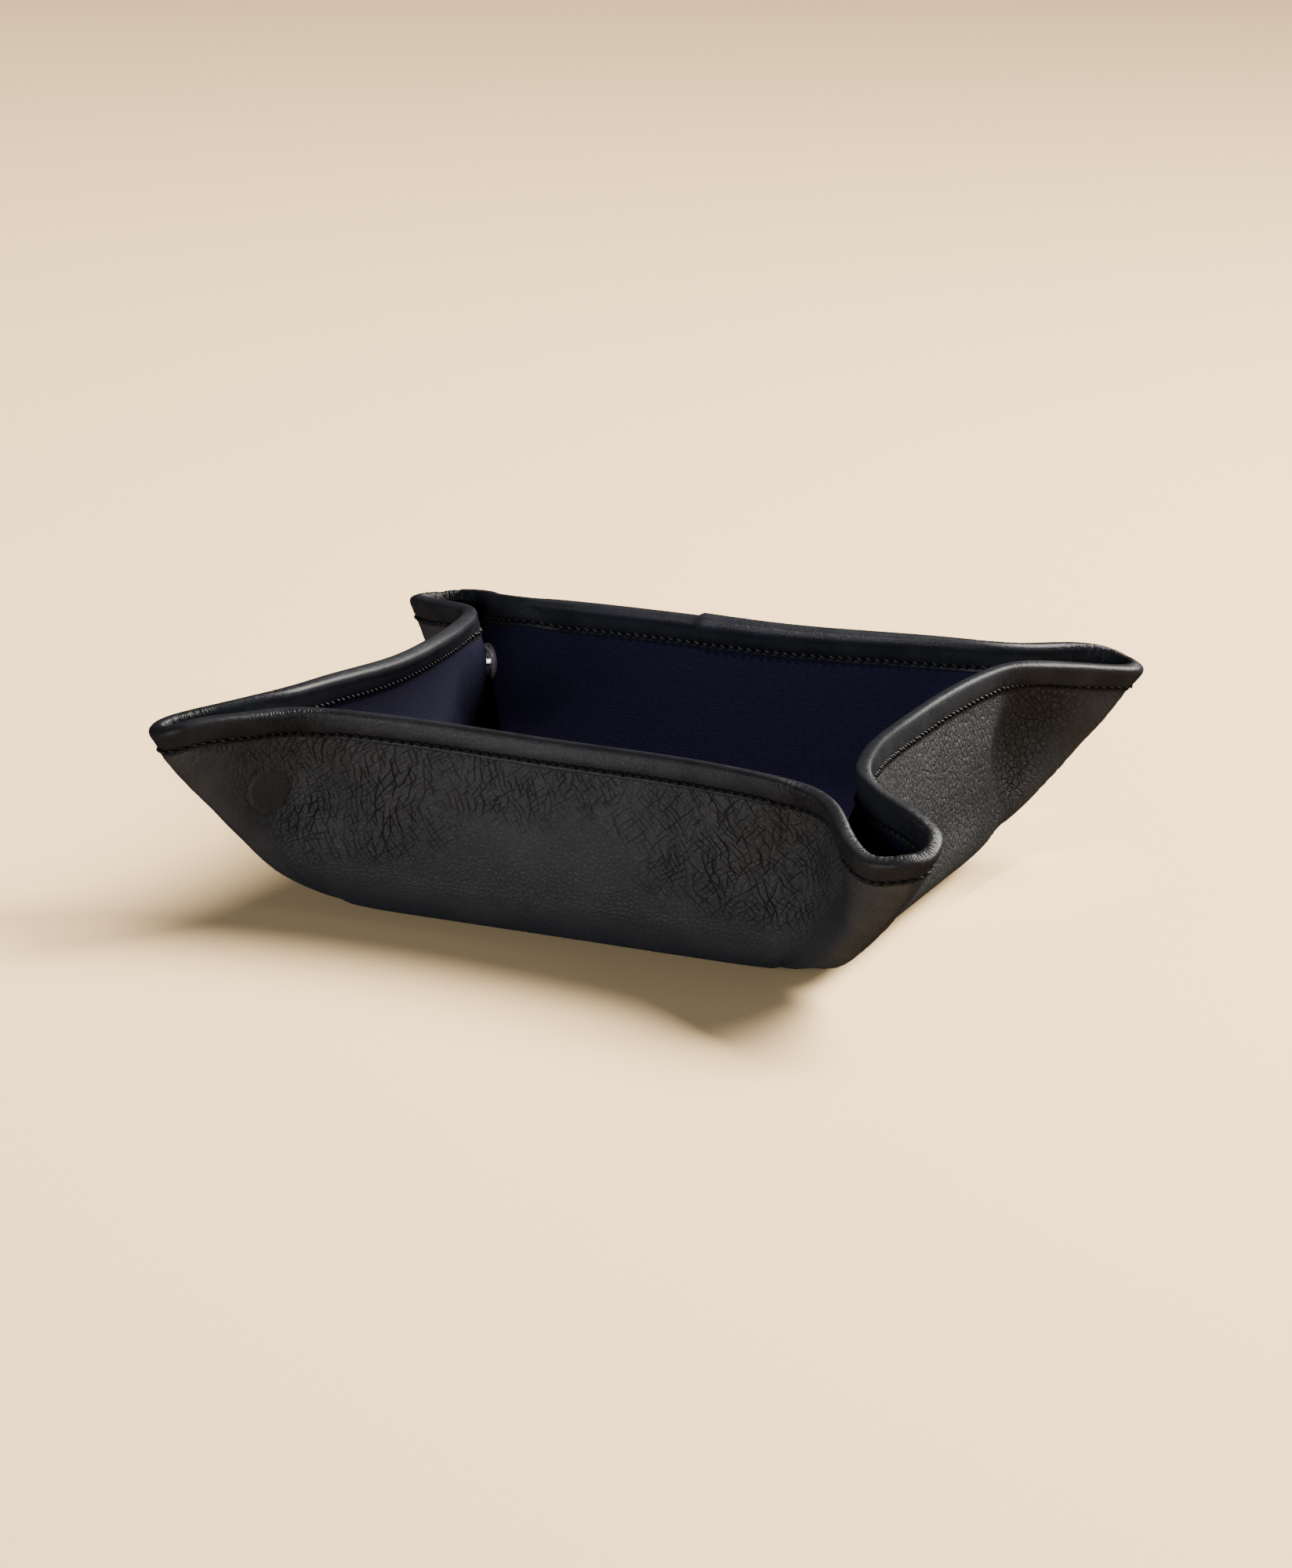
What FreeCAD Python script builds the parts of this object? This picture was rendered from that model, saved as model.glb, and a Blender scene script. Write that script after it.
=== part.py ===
import FreeCAD, Part
import Sketcher
import math
import os

# Valet tray: a square of lined leather with a bound edge. Its four corners are
# pinched into ears that press studs hold, and it lies flat when they are undone.
# Frame: millimetres, +Z up, origin at the middle of the underside, front towards -Y.

V = FreeCAD.Vector
doc = FreeCAD.newDocument("valet_tray")

# ---------------------------------------------------------------- dimensions
DIMS = [
    ("base_half", 70.0),        # middle to the fold line of a wall, on the floor
    ("wall_width", 60.0),       # fold line to rim, along the wall
    ("wall_angle", 84.0),       # wall to floor, degrees
    ("leather_thick", 1.3),
    ("lining_thick", 0.7),
    ("board_thick", 0.8),
    ("fold_rise", 1.0),         # height of the fold line above the floor
    ("base_setback", 2.2),      # base edge to fold line
    ("base_corner", 9.0),       # corner radius of the base
    ("board_setback", 1.5),     # board edge to base edge
    ("bind_depth", 8.0),        # width of the binding on each face
    ("bind_thick", 0.9),
    ("ear_foot", 8.0),          # lowest edge of an ear half above the fold line
    ("crease_setback", 2.1),    # wall and ear half stop this far from their crease
    ("ridge_setback", 3.5),     # ear half stops this far from the corner's ridge
    ("tip_cut", 20.0),          # rounded-off corner of the flat sheet
    ("snap_gap", 4.4),          # between the lining faces of the two ear halves
    ("snap_reach", 116.0),      # middle of the tray to the press stud, level
    ("snap_height", 35.5),
    ("snap_radius", 5.75),
    ("flange_thick", 0.5),
    ("socket_radius", 4.7),
    ("socket_top", 3.1),
    ("bore_radius", 2.3),
    ("bore_floor", 0.9),
    ("knob_radius", 1.85),
    ("knob_neck", 1.5),
    ("knob_tip", 1.3),
    ("stud_face", 3.4),
    ("post_radius", 1.4),
    ("post_clear", 0.08),
    ("plate_radius", 5.5),
    ("plate_thick", 0.5),
]
D = dict(DIMS)

phi = math.radians(D["wall_angle"])
cs, sn = math.cos(phi), math.sin(phi)
stack = D["leather_thick"] + D["lining_thick"]
lean = math.sqrt(1.0 + cs * cs)
r2 = math.sqrt(2.0)
# crease between wall and ear half, on the lining face: x = crease_x + t * cos(wall_angle)
crease_x = D["base_half"] - stack * sn - D["snap_gap"] / r2
fold_start = D["fold_rise"] / sn
wall_gap = D["crease_setback"] * lean
ridge_gap = D["ridge_setback"] * r2
w = D["wall_width"]
fold = math.degrees(math.acos(sn / r2))        # ear half against its wall

# the press stud's place on the flat sheet
P0 = V(crease_x, 0, -stack)
ku = V(cs / lean, 1.0 / lean, 0)
mu = V(1.0 / lean, -cs / lean, 0)
wall_pl = FreeCAD.Placement(V(0, -D["base_half"], 0), FreeCAD.Rotation(V(1, 0, 0), 180.0 - D["wall_angle"]))
ear_pl = FreeCAD.Placement(V(0, 0, 0), FreeCAD.Rotation(ku, -fold), P0)
snap_c = V((D["snap_reach"] - D["snap_gap"] / 2) / r2, -(D["snap_reach"] + D["snap_gap"] / 2) / r2, D["snap_height"])
flat_snap = wall_pl.multiply(ear_pl).inverse().multVec(snap_c)

tip_t = w - (D["tip_cut"] - ridge_gap) / 2.0
DERIVED = [
    ("stack", stack),
    ("fold_start", fold_start),
    ("wall_foot", crease_x + fold_start * cs - wall_gap),
    ("wall_top", crease_x + w * cs - wall_gap),
    ("bind_foot", crease_x + (w - D["bind_depth"]) * cs - wall_gap),
    ("bind_crown", crease_x + (w + D["bind_thick"]) * cs - wall_gap),
    ("ear_in_foot", crease_x + D["ear_foot"] * cs + wall_gap),
    ("ear_in_top", crease_x + w * cs + wall_gap),
    ("ear_out_top", D["base_half"] + w - D["tip_cut"]),
    ("ear_tip_x", D["base_half"] + tip_t - ridge_gap),
    ("ear_tip_y", tip_t),
    ("ear_out_foot", D["base_half"] + D["ear_foot"] - ridge_gap),
    ("ear_bind_foot", crease_x + (w - D["bind_depth"]) * cs + wall_gap),
    ("ear_bind_crown", crease_x + (w + D["bind_thick"]) * cs + wall_gap),
    ("snap_u", flat_snap.x),
    ("snap_v", flat_snap.y),
]

sheet = doc.addObject("Spreadsheet::Sheet", "Dims")
for row, (alias, value) in enumerate(DIMS + DERIVED, start=1):
    sheet.set("A%d" % row, alias)
    sheet.set("B%d" % row, repr(round(float(value), 6)))
    sheet.setAlias("B%d" % row, alias)
doc.recompute()

NODES = []


def add_node(obj, label, placement):
    obj.Label = label
    obj.Placement = placement
    NODES.append(obj)


def origin_plane(body, role):
    for feat in body.Origin.OriginFeatures:
        if feat.Role == role:
            return feat
    raise ValueError(role)


def new_sketch(body, name, role, height=None):
    sk = body.newObject("Sketcher::SketchObject", name)
    sk.AttachmentSupport = (origin_plane(body, role), [""])
    sk.MapMode = "FlatFace"
    if height is not None:
        sk.setExpression("AttachmentOffset.Base.z", height)
    return sk


def polygon(sk, points):
    """Closed polygon; each point is ((x, y), (x expression, y expression)), with x and y not negative in the expression."""
    n = len(points)
    for i in range(n):
        a, b = points[i][0], points[(i + 1) % n][0]
        sk.addGeometry(Part.LineSegment(V(a[0], a[1], 0), V(b[0], b[1], 0)), False)
    for i in range(n):
        sk.addConstraint(Sketcher.Constraint("Coincident", i, 2, (i + 1) % n, 1))
    for i in range(n):
        (x, y), (ex, ey) = points[i]
        for kind, value, expr in (("DistanceX", x, ex), ("DistanceY", y, ey)):
            if abs(value) < 1e-9:
                on = -2 if kind == "DistanceX" else -1
                sk.addConstraint(Sketcher.Constraint("PointOnObject", i, 1, on))
                continue
            if value > 0:
                c = sk.addConstraint(Sketcher.Constraint(kind, -1, 1, i, 1, value))
            else:
                c = sk.addConstraint(Sketcher.Constraint(kind, i, 1, -1, 1, -value))
            sk.setExpression("Constraints[%d]" % c, expr)


def circle(sk, x, y, ex, ey, er, radius):
    sk.addGeometry(Part.Circle(V(x, y, 0), V(0, 0, 1), radius), False)
    if x > 0:
        c = sk.addConstraint(Sketcher.Constraint("DistanceX", -1, 1, 0, 3, x))
    else:
        c = sk.addConstraint(Sketcher.Constraint("DistanceX", 0, 3, -1, 1, -x))
    sk.setExpression("Constraints[%d]" % c, ex)
    c = sk.addConstraint(Sketcher.Constraint("DistanceY", -1, 1, 0, 3, y))
    sk.setExpression("Constraints[%d]" % c, ey)
    c = sk.addConstraint(Sketcher.Constraint("Radius", 0, radius))
    sk.setExpression("Constraints[%d]" % c, er)


# ---------------------------------------------------------------- base: leather, board and lining in a stack
def base_plate(label, half, half_expr, low, thick, radius_expr):
    body = doc.addObject("PartDesign::Body", label)
    sk = new_sketch(body, label + "_outline", "XY_Plane", low)
    h = half
    polygon(sk, [((-h, -h), (half_expr, half_expr)), ((h, -h), (half_expr, half_expr)),
                 ((h, h), (half_expr, half_expr)), ((-h, h), (half_expr, half_expr))])
    pad = body.newObject("PartDesign::Pad", label + "_pad")
    pad.Profile = sk
    pad.setExpression("Length", thick)
    doc.recompute()
    upright = []
    for i, e in enumerate(pad.Shape.Edges, start=1):
        a, b = e.Vertexes[0].Point, e.Vertexes[-1].Point
        if abs(a.x - b.x) < 1e-6 and abs(a.y - b.y) < 1e-6:
            upright.append("Edge%d" % i)
    rnd = body.newObject("PartDesign::Fillet", label + "_corners")
    rnd.Base = (pad, upright)
    rnd.setExpression("Radius", radius_expr)
    body.Tip = rnd
    add_node(body, label, FreeCAD.Placement())


base_edge = D["base_half"] - D["base_setback"]
base_plate("base_leather", base_edge, "Dims.base_half - Dims.base_setback", "0 * Dims.leather_thick",
           "Dims.leather_thick", "Dims.base_corner")
base_plate("base_board", base_edge - D["board_setback"], "Dims.base_half - Dims.base_setback - Dims.board_setback",
           "1 * Dims.leather_thick", "Dims.board_thick", "Dims.base_corner - Dims.board_setback")
base_plate("base_lining", base_edge, "Dims.base_half - Dims.base_setback", "Dims.leather_thick + Dims.board_thick",
           "Dims.lining_thick", "Dims.base_corner")


# ---------------------------------------------------------------- walls: flat plates that stand on the fold lines
def wedge(name, y0, y1, z0, z1, xa0, xb0, xa1, xb1):
    """Plate whose ends slope: x runs from xa0 to xb0 at y0 and from xa1 to xb1 at y1."""
    o = doc.addObject("Part::Wedge", name)
    for prop, expr in (("Ymin", y0), ("Ymax", y1), ("Zmin", z0), ("Z2min", z0), ("Zmax", z1), ("Z2max", z1),
                       ("Xmin", xa0), ("Xmax", xb0), ("X2min", xa1), ("X2max", xb1)):
        o.setExpression(prop, expr)
    return o


def binding(label, foot_a, foot_b, crown_a, crown_b, placement):
    """Strip folded over the rim: a bar with a slot for the leather and lining."""
    bar = wedge(label + "_bar", "Dims.wall_width - Dims.bind_depth", "Dims.wall_width + Dims.bind_thick",
                "-Dims.stack - Dims.bind_thick", "1 * Dims.bind_thick", foot_a, foot_b, crown_a, crown_b)
    slot = doc.addObject("Part::Box", label + "_slot")
    slot.setExpression("Length", "4 * (Dims.base_half + Dims.wall_width)")
    slot.setExpression("Width", "Dims.bind_depth + 5")
    slot.setExpression("Height", "1 * Dims.stack")
    slot.setExpression("Placement.Base.x", "-2 * (Dims.base_half + Dims.wall_width)")
    slot.setExpression("Placement.Base.y", "Dims.wall_width - Dims.bind_depth - 5")
    slot.setExpression("Placement.Base.z", "-Dims.stack")
    cut = doc.addObject("Part::Cut", label)
    cut.Base = bar
    cut.Tool = slot
    add_node(cut, label, placement)


# ---------------------------------------------------------------- ears: each corner has a half on either wall
def ear_plate(label, end, low, thick, placement, leather):
    s = 1.0 if end > 0 else -1.0
    d = dict(DIMS + DERIVED)
    pts = [("ear_in_foot", "ear_foot"), ("ear_in_top", "wall_width"), ("ear_out_top", "wall_width"),
           ("ear_tip_x", "ear_tip_y"), ("ear_out_foot", "ear_foot")]
    body = doc.addObject("PartDesign::Body", label)
    sk = new_sketch(body, label + "_outline", "XY_Plane", low)
    polygon(sk, [((s * d[a], d[b]), ("1 * Dims." + a, "1 * Dims." + b)) for a, b in pts])
    pad = body.newObject("PartDesign::Pad", label + "_pad")
    pad.Profile = sk
    pad.setExpression("Length", thick)
    doc.recompute()
    full = pad.Shape.Volume
    hole = new_sketch(body, label + "_seat", "XY_Plane", low)
    radius = "Dims.plate_radius + Dims.post_clear" if leather else "Dims.post_radius + Dims.post_clear"
    circle(hole, s * d["snap_u"], d["snap_v"], "1 * Dims.snap_u", "1 * Dims.snap_v", radius,
           d["plate_radius"] if leather else d["post_radius"])
    seat = body.newObject("PartDesign::Pocket", label + "_seat_cut")
    seat.Profile = hole
    seat.Reversed = True
    if leather:
        seat.setExpression("Length", "1 * Dims.plate_thick")
    else:
        seat.setExpression("Length", "2 * Dims.lining_thick")
    doc.recompute()
    r = (d["plate_radius"] if leather else d["post_radius"]) + d["post_clear"]
    want = full - math.pi * r * r * (d["plate_thick"] if leather else d["lining_thick"])
    if abs(seat.Shape.Volume - want) > 0.01 * (full - want) + 0.05:
        raise ValueError("seat of %s cuts %.3f, not %.3f" % (label, full - seat.Shape.Volume, full - want))
    body.Tip = seat
    add_node(body, label, placement)


def quarter(k):
    return FreeCAD.Placement(V(0, 0, 0), FreeCAD.Rotation(V(0, 0, 1), 90.0 * k))


WALLS = ["front", "right", "back", "left"]
ENDS = {0: ("right", "left"), 1: ("back", "front"), 2: ("left", "right"), 3: ("front", "back")}
CORNERS = ["front_right", "back_right", "back_left", "front_left"]
for k, wall in enumerate(WALLS):
    here = quarter(k).multiply(wall_pl)
    for layer, z0, z1 in (("leather", "-Dims.leather_thick", "0 * Dims.leather_thick"),
                          ("lining", "-Dims.stack", "-Dims.leather_thick")):
        label = "%s_wall_%s" % (wall, layer)
        o = wedge(label, "1 * Dims.fold_start", "1 * Dims.wall_width", z0, z1,
                  "-Dims.wall_foot", "1 * Dims.wall_foot", "-Dims.wall_top", "1 * Dims.wall_top")
        add_node(o, label, here)
    binding("%s_wall_binding" % wall, "-Dims.bind_foot", "1 * Dims.bind_foot", "-Dims.bind_crown", "1 * Dims.bind_crown", here)
    for end, name in ((1, ENDS[k][0]), (-1, ENDS[k][1])):
        if end > 0:
            turn = FreeCAD.Placement(V(0, 0, 0), FreeCAD.Rotation(ku, -fold), P0)
        else:
            turn = FreeCAD.Placement(V(0, 0, 0), FreeCAD.Rotation(V(-ku.x, ku.y, 0), fold), V(-P0.x, P0.y, P0.z))
        there = here.multiply(turn)
        stem = "%s_wall_%s_ear" % (wall, name)
        ear_plate(stem + "_leather", end, "-Dims.leather_thick", "1 * Dims.leather_thick", there, True)
        ear_plate(stem + "_lining", end, "-Dims.stack", "1 * Dims.lining_thick", there, False)
        if end > 0:
            binding(stem + "_binding", "1 * Dims.ear_bind_foot", "1 * Dims.ear_out_top",
                    "1 * Dims.ear_bind_crown", "1 * Dims.ear_out_top", there)
        else:
            binding(stem + "_binding", "-Dims.ear_out_top", "-Dims.ear_bind_foot",
                    "-Dims.ear_out_top", "-Dims.ear_bind_crown", there)


# ---------------------------------------------------------------- press studs: turned pieces on an axis across the ear
def turned(label, points, placement):
    """Ring or disc turned about the stud's axis; points are (radius, height along the axis)."""
    body = doc.addObject("PartDesign::Body", label)
    sk = new_sketch(body, label + "_profile", "XZ_Plane")
    polygon(sk, points)
    rev = body.newObject("PartDesign::Revolution", label + "_turn")
    rev.Profile = sk
    rev.ReferenceAxis = (sk, ["V_Axis"])
    rev.Angle = 360.0
    body.Tip = rev
    add_node(body, label, placement)


def at(r, rexpr, a, aexpr):
    return ((r, a), (rexpr, aexpr))


d = dict(DIMS + DERIVED)
lt, pt, g = d["lining_thick"], d["plate_thick"], d["snap_gap"]
back, backx = lt + pt, "Dims.lining_thick + Dims.plate_thick"
far, farx = g + lt, "Dims.snap_gap + Dims.lining_thick"
farb, farbx = g + lt + pt, "Dims.snap_gap + Dims.lining_thick + Dims.plate_thick"
sr, srx = d["snap_radius"], "1 * Dims.snap_radius"
pr, prx = d["post_radius"], "1 * Dims.post_radius"
plr, plrx = d["plate_radius"], "1 * Dims.plate_radius"
hole_r, hole_x = pr + d["post_clear"], "Dims.post_radius + Dims.post_clear"
SOCKET = [
    at(0, "0", -back, backx), at(pr, prx, -back, backx), at(pr, prx, 0, "0"), at(sr, srx, 0, "0"),
    at(sr, srx, d["flange_thick"], "1 * Dims.flange_thick"),
    at(d["socket_radius"], "1 * Dims.socket_radius", d["flange_thick"] + 0.2, "Dims.flange_thick + 0.2"),
    at(d["socket_radius"], "1 * Dims.socket_radius", d["socket_top"] - 0.3, "Dims.socket_top - 0.3"),
    at(d["socket_radius"] - 0.3, "Dims.socket_radius - 0.3", d["socket_top"], "1 * Dims.socket_top"),
    at(d["bore_radius"], "1 * Dims.bore_radius", d["socket_top"], "1 * Dims.socket_top"),
    at(d["bore_radius"], "1 * Dims.bore_radius", d["bore_floor"], "1 * Dims.bore_floor"),
    at(0, "0", d["bore_floor"], "1 * Dims.bore_floor"),
]
SOCKET_PLATE = [at(hole_r, hole_x, -back, backx), at(plr, plrx, -back, backx), at(plr, plrx, -lt, "1 * Dims.lining_thick"),
                at(hole_r, hole_x, -lt, "1 * Dims.lining_thick")]
kt = d["knob_tip"]
STUD = [
    at(0, "0", kt, "1 * Dims.knob_tip"),
    at(d["knob_radius"] - 0.6, "Dims.knob_radius - 0.6", kt, "1 * Dims.knob_tip"),
    at(d["knob_radius"], "1 * Dims.knob_radius", kt + 0.5, "Dims.knob_tip + 0.5"),
    at(d["knob_radius"], "1 * Dims.knob_radius", kt + 1.1, "Dims.knob_tip + 1.1"),
    at(d["knob_neck"], "1 * Dims.knob_neck", kt + 1.5, "Dims.knob_tip + 1.5"),
    at(d["knob_neck"], "1 * Dims.knob_neck", d["stud_face"], "1 * Dims.stud_face"),
    at(sr - 0.2, "Dims.snap_radius - 0.2", d["stud_face"], "1 * Dims.stud_face"),
    at(sr, srx, d["stud_face"] + 0.2, "Dims.stud_face + 0.2"),
    at(sr, srx, g, "1 * Dims.snap_gap"),
    at(pr, prx, g, "1 * Dims.snap_gap"),
    at(pr, prx, farb, farbx),
    at(0, "0", farb, farbx),
]
STUD_PLATE = [at(hole_r, hole_x, far, farx), at(plr, plrx, far, farx), at(plr, plrx, farb, farbx), at(hole_r, hole_x, farb, farbx)]

across = FreeCAD.Placement(snap_c, FreeCAD.Rotation(V(0, 0, 1), V(1, 1, 0)))
for k, corner in enumerate(CORNERS):
    here = quarter(k).multiply(across)
    turned(corner + "_snap_socket", SOCKET, here)
    turned(corner + "_snap_socket_plate", SOCKET_PLATE, here)
    turned(corner + "_snap_stud", STUD, here)
    turned(corner + "_snap_stud_plate", STUD_PLATE, here)

# ---------------------------------------------------------------- test and write
doc.recompute()
bad = [o.Name for o in doc.Objects if "Invalid" in o.State or "Error" in o.State]
if bad:
    raise ValueError("failed objects: %s" % bad)
for o in NODES:
    if o.Shape.isNull() or not o.Shape.isValid() or not o.Shape.Solids:
        raise ValueError("bad shape: %s" % o.Label)
os.makedirs("parts", exist_ok=True)
for o in NODES:
    o.Shape.exportStep(os.path.join("parts", o.Label + ".step"))
print("%d nodes written" % len(NODES))
print("crease_x %.4f fold %.4f snap_u %.3f snap_v %.3f" % (crease_x, fold, flat_snap.x, flat_snap.y))
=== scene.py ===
import math
import bpy
import numpy as np
from mathutils import Matrix, Vector


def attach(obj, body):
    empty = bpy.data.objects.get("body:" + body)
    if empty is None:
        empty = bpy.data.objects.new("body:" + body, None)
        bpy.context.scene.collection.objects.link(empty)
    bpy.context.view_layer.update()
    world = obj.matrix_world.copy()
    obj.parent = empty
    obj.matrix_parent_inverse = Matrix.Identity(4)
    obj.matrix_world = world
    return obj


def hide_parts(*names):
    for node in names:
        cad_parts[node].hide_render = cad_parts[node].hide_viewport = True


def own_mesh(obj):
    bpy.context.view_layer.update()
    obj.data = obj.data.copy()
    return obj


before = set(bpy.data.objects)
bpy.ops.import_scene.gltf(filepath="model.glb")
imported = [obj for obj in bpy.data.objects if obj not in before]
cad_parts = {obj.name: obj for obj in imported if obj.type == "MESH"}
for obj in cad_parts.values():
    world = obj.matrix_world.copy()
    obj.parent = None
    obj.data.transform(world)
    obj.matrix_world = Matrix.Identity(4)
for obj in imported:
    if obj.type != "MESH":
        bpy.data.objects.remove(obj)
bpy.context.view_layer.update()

MM = 0.001
R2 = 2 ** 0.5

# ---------------------------------------------------------------- shape, in millimetres
WALLS = ("front_wall", "right_wall", "back_wall", "left_wall")
EARS = (("front_wall_right_ear", "front_wall_left_ear"),
        ("right_wall_back_ear", "right_wall_front_ear"),
        ("back_wall_left_ear", "back_wall_right_ear"),
        ("left_wall_front_ear", "left_wall_back_ear"))
SHAPE = dict(c=73.7, rc=9.5, q1=20.5, q2=9.0, rf=5.0, q2r=25.0, kw=4.6, kr=1.0, z0=1.2)
# distance and height of the middle of each wall's rim
WALL_SHAPE = [dict(yw=81.6, bow=-6.8, zw=55.7), dict(yw=79.0, bow=-6.8, zw=55.8),
              dict(yw=81.1, bow=-6.8, zw=57.9), dict(yw=78.2, bow=-6.8, zw=56.1)]
# tips of the ears in the order front right, back right, back left, front left
CORNER_SHAPE = [dict(dt=153.4, zt=47.9, ef=1.0, dkr=3.4), dict(dt=150.5, zt=54.4, ef=0.9, dkr=0.5),
                dict(dt=151.0, zt=46.4, ef=0.95, dkr=-1.0), dict(dt=146.6, zt=51.6, ef=1.2, dkr=0.0)]
# half width of each ear at the throat and near the tip, roundness of the throat, height there;
# for each wall its left half, then its right half
HALF_SHAPE = [(dict(e0=6.6, e1=5.6, rho=34.0, zth=57.3, dip=-2.1), dict(e0=8.6, e1=10.8, rho=26.0, zth=55.8, dip=2.3)),
              (dict(e0=7.4, e1=8.6, rho=17.0, zth=57.7, dip=-3.6), dict(e0=8.1, e1=8.1, rho=22.0, zth=58.1)),
              (dict(e0=8.0, e1=11.0, rho=18.0, zth=59.5, dip=-1.5), dict(e0=8.0, e1=10.5, rho=17.0, zth=54.6, dip=-1.0)),
              (dict(e0=9.0, e1=9.0, rho=20.0, zth=52.6, dip=-0.6), dict(e0=7.8, e1=8.6, rho=20.0, zth=58.3))]
NA, NB, NC, ND = 56, 34, 44, 26          # columns: wall, throat, side of the ear, tip
NCOL = NA + NB + NC + ND
MB, MU = 16, 68                          # rows: bend at the fold, rising part
HINGE = NA + NB // 2                     # where a wall ends and an ear half starts
OUT, INN = 1.2, 1.0                      # leather and lining, either side of the middle surface
SNAP_REACH, SNAP_HEIGHT, SNAP_MID = 116.0, 35.5, 3.25


def smooth(t):
    t = np.clip(t, 0, 1)
    return t * t * (3 - 2 * t)


def through(x, xs, ys):
    xs, ys = np.asarray(xs, float), np.asarray(ys, float)
    m = np.zeros(len(xs))
    m[1:-1] = (ys[2:] - ys[:-2]) / (xs[2:] - xs[:-2])
    k = np.clip(np.searchsorted(xs, x) - 1, 0, len(xs) - 2)
    h = xs[k + 1] - xs[k]
    t = np.clip((x - xs[k]) / h, 0, 1)
    return ((2 * t**3 - 3 * t**2 + 1) * ys[k] + (t**3 - 2 * t**2 + t) * h * m[k]
            + (-2 * t**3 + 3 * t**2) * ys[k + 1] + (t**3 - t**2) * h * m[k + 1])


def unit(v):
    return v / np.maximum(np.linalg.norm(v, axis=-1, keepdims=True), 1e-9)


def rim_half(w, c, h):
    """Rim of half a wall, from its middle to the tip of the ear."""
    yw, e0, e1, rho = w["yw"], h["e0"], h["e1"], h["rho"]
    tl = rho * math.tan(math.pi / 8)
    x1 = yw - R2 * e0 - tl
    t = np.linspace(0, 1, NA, endpoint=False)
    a = np.c_[x1 * (1 - (1 - t) ** 1.45), np.full(NA, -yw)]
    th = np.linspace(0, math.pi / 4, NB, endpoint=False)
    b = np.c_[x1 + rho * np.sin(th), -yw - rho * (1 - np.cos(th))]
    al0, al1 = R2 * yw - e0 + tl, c["dt"] - e1 * c["ef"]
    al = np.linspace(al0, al1, NC, endpoint=False)
    be = -(e0 + (e1 - e0) * smooth((al - al0) / (al1 - al0)))
    s = np.c_[(al + be) / R2, -(al - be) / R2]
    th = np.linspace(0, math.pi / 2, ND + 1)
    aa, bb = al1 + e1 * c["ef"] * np.sin(th), -e1 * np.cos(th)
    d = np.c_[(aa + bb) / R2, -(aa - bb) / R2]
    p = np.vstack([a, b, s, d])
    p[:, 1] -= w["bow"] * np.clip(1 - (p[:, 0] / x1) ** 2, 0, 1)
    run = np.r_[0, np.cumsum(np.linalg.norm(np.diff(p, axis=0), axis=1))]
    z = through(run, [0, run[NA + NB // 2], run[-1]], [w["zw"], h["zth"], c["zt"]])
    share = (run - run[NA + NB // 2]) / (run[-1] - run[NA + NB // 2])
    z = z - h.get("dip", 0.0) * smooth((share - 0.2) / 0.5) * (1 - smooth((share - 0.76) / 0.24))
    return np.c_[p, z]


def fold_half():
    """The line of the fold and the edge of the flat floor inside it."""
    c, rc, q1, rf = (SHAPE[k] for k in ("c", "rc", "q1", "rf"))
    t = np.linspace(0, 1, NA, endpoint=False)
    a = np.c_[(c - rc) * (1 - (1 - t) ** 1.45), np.full(NA, -c)]
    th = np.linspace(0, math.pi / 4, NCOL - NA + 1)
    b = np.vstack([a, np.c_[c - rc + rc * np.sin(th), -(c - rc) - rc * np.cos(th)]])
    k = c - q1 - rf
    d = b - np.array([k, -k])
    t = np.arctan2(np.maximum(d[:, 0], 0), -d[:, 1])
    f = np.where(d[:, :1] <= 0, np.c_[b[:, 0], np.full(len(b), -(c - q1))],
                 np.c_[k + rf * np.sin(t), -k - rf * np.cos(t)])
    return b, f


def turn(k):
    ca, sa = ((1, 0), (0, 1), (-1, 0), (0, -1))[k]
    return np.array([[ca, -sa, 0], [sa, ca, 0], [0, 0, 1.0]])


def around(make_half):
    """Columns of all four walls in order. Column 0 is the middle of the front wall, and they go round by the right."""
    parts = []
    for k in range(4):
        for side in (-1, 1):
            g = make_half(k, side)
            g = g[::-1][:-1] * np.array([-1, 1, 1.0]) if side < 0 else g[:-1]
            parts.append(g @ turn(k).T)
    return np.roll(np.concatenate(parts, 0), -NCOL, axis=0)


def soften(curve, width):
    """A closed curve smoothed over its own width at each point."""
    gap = np.linalg.norm(np.roll(curve, -1, 0) - curve, axis=1)
    run = np.r_[0, np.cumsum(gap)][:-1]
    total = gap.sum()
    cell = (gap + np.roll(gap, 1)) / 2
    top, low = np.zeros_like(curve), np.zeros(len(curve))
    for d in range(-110, 111):
        off = (np.roll(run, -d) - run + total / 2) % total - total / 2
        w = np.exp(-0.5 * (off / width) ** 2) * np.roll(cell, -d)
        top += w[:, None] * np.roll(curve, -d, 0)
        low += w
    return top / low[:, None]


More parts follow.
